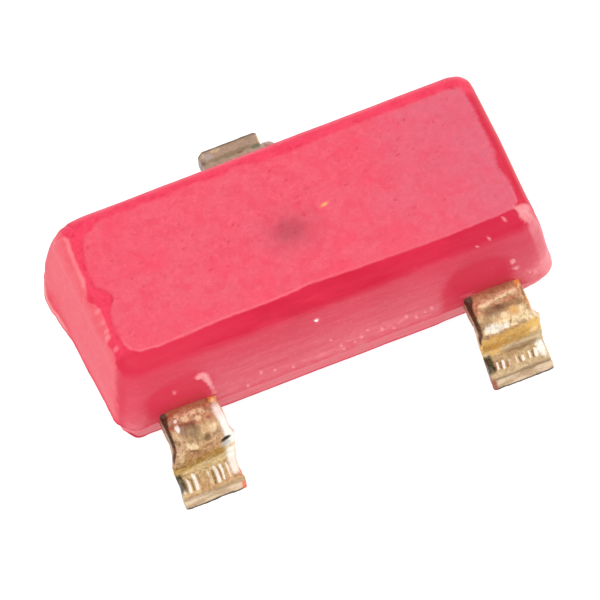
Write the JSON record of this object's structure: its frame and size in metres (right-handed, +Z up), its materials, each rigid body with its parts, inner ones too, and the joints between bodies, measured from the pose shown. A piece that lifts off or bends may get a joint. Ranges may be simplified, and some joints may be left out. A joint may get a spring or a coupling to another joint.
{
  "type": "surface-mount led",
  "caption": "Pink-red translucent surface-mount light-emitting diode in a moulded body with gull-wing solder leads.",
  "frame": {"origin": "on the solder plane, midway between the front and back lead tips and below the middle of the body's length", "axes": "+X along the body's length to the lead that carries the bond wire, +Y to the single back lead, +Z up from the solder plane"},
  "size_m": [0.003, 0.0022, 0.0009],
  "materials": {
    "epoxy": "satin",
    "cathode_plating": "satin",
    "anode_plating": "satin",
    "blank_plating": "satin",
    "die": "gloss",
    "silver_adhesive": "matte",
    "contact_gold": "satin",
    "wire_gold": "gloss"
  },
  "bodies": {
    "root": {"epoxy_body": "epoxy", "cathode_lead": "cathode_plating", "anode_lead": "anode_plating", "blank_lead": "blank_plating", "led_die": "die", "die_attach": "silver_adhesive", "top_contact": "contact_gold", "bond_wire": "wire_gold"}
  },
  "joints": []
}
